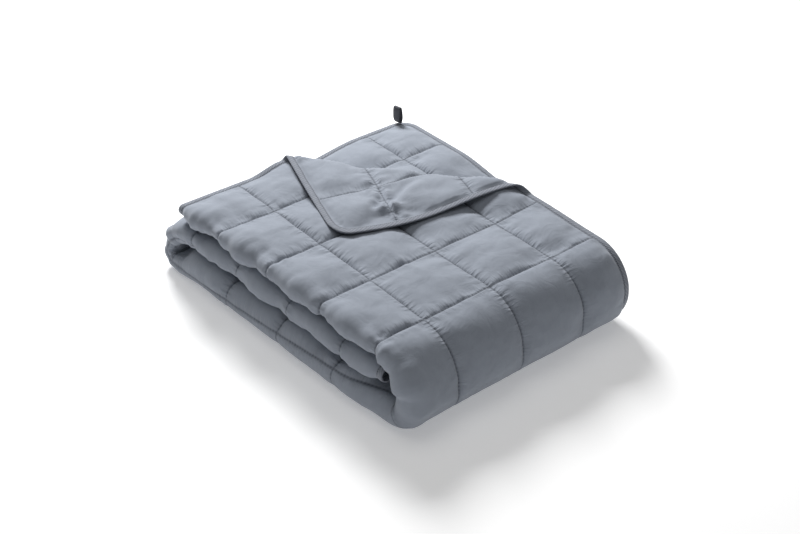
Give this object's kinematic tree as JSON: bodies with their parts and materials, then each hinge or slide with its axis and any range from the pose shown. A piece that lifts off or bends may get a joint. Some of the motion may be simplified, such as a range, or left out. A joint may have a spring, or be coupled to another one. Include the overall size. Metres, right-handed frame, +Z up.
{
  "type": "folded weighted blanket",
  "caption": "Quilted weighted blanket, doubled across its width and folded along its length, one corner turned back, with bound edges and a corner loop.",
  "frame": {"origin": "on the surface under the middle of the folded blanket's box", "axes": "+Z up, +Y along the folded length towards the free end with the corner loop, +X towards the bound long edges"},
  "size_m": [0.5831, 0.7376, 0.1975],
  "materials": {
    "quilted_fabric": "fine plain-woven grey cotton, matt, quilted in squares",
    "binding_fabric": "darker grey folded cotton tape, stitched and slightly puckered",
    "loop_ribbon": "dark grey woven ribbon"
  },
  "bodies": {
    "root": {"quilted_blanket": "quilted_fabric", "edge_binding": "binding_fabric", "corner_loop": "loop_ribbon"}
  },
  "joints": []
}
